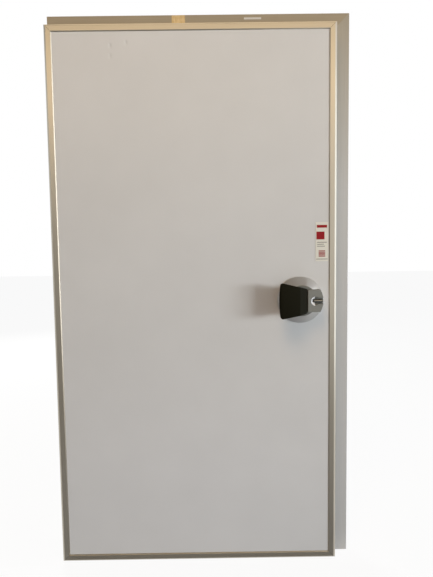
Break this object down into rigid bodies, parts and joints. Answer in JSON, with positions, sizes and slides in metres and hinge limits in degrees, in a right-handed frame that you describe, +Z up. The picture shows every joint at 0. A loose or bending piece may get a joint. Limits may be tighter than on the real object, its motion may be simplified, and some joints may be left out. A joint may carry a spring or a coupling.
{
  "type": "pivot door",
  "caption": "Insulated cold-room pivot door: white panel leaf edged in aluminium on top and bottom pivots, in front of its frame, with a pull-lever handle on a round base.",
  "frame": {"origin": "floor level on the pivot line, on the wall side of the hinge jamb's face profile", "axes": "+X from the pivot to the lock side, +Y into the room behind the door, +Z up"},
  "size_m": [1.143, 0.2575, 2.114],
  "materials": {
    "frame_aluminium": "matt anodised, faint grain along the length",
    "leaf_aluminium": "satin anodised, faint grain along the length",
    "white_skin": "off-white coil coating, low gloss",
    "inner_skin": "off-white coil coating, low gloss",
    "foam": "rigid foam",
    "lining": "off-white moulded lining",
    "trim": "matt anodised",
    "seal_rubber": "matt black",
    "zinc_steel": "plain zinc plated",
    "bush_nylon": "natural nylon",
    "cast_base": "silver-grey lacquer, satin",
    "housing_grey": "mid-grey lacquer, satin",
    "grip_black": "black, fine grain",
    "lock_chrome": "polished",
    "release_green": "green, satin",
    "label_paper": "printed paper, plain bands",
    "tape_yellow": "packing tape",
    "tag_white": "plain"
  },
  "bodies": {
    "frame": {"frame_head": "frame_aluminium", "frame_hinge_jamb": "frame_aluminium", "frame_lock_jamb": "frame_aluminium", "lining_head": "lining", "lining_hinge_side": "lining", "lining_lock_side": "lining", "trim_head": "trim", "trim_hinge_side": "trim", "trim_lock_side": "trim", "top_pivot_arm": "zinc_steel", "top_pivot_pin": "zinc_steel", "bottom_pivot_plate": "zinc_steel", "bottom_pivot_pin": "zinc_steel", "head_tape": "tape_yellow", "head_tag": "tag_white"},
    "leaf": {"leaf_top_rail": "leaf_aluminium", "leaf_bottom_rail": "leaf_aluminium", "leaf_hinge_stile": "leaf_aluminium", "leaf_lock_stile": "leaf_aluminium", "leaf_outer_skin": "white_skin", "leaf_core": "foam", "leaf_inner_skin": "inner_skin", "gasket_top": "seal_rubber", "gasket_hinge_side": "seal_rubber", "gasket_lock_side": "seal_rubber", "bottom_sweep": "seal_rubber", "top_pivot_bush": "bush_nylon", "bottom_pivot_bush": "bush_nylon", "handle_base": "cast_base", "lock_housing": "housing_grey", "lever_pin": "zinc_steel", "lock_barrel": "lock_chrome", "release_plate": "housing_grey", "release_knob": "release_green", "label": "label_paper"},
    "lever": {"handle_grip": "grip_black"},
    "lock": {"lock_plug": "lock_chrome"}
  },
  "joints": [
    {"name": "leaf_swing", "type": "hinge", "parent": "frame", "child": "leaf", "pos_m": [0, -0.05, 1], "axis": [0, 0, -1], "range_deg": [0, 105]},
    {"name": "handle_pull", "type": "hinge", "parent": "leaf", "child": "lever", "pos_m": [0.924, -0.1425, 1.034], "axis": [0, 0, 1], "range_deg": [0, 35]},
    {"name": "lock_turn", "type": "hinge", "parent": "leaf", "child": "lock", "pos_m": [0.99, -0.1355, 1.034], "axis": [1, 0, 0], "range_deg": [0, 90]}
  ]
}
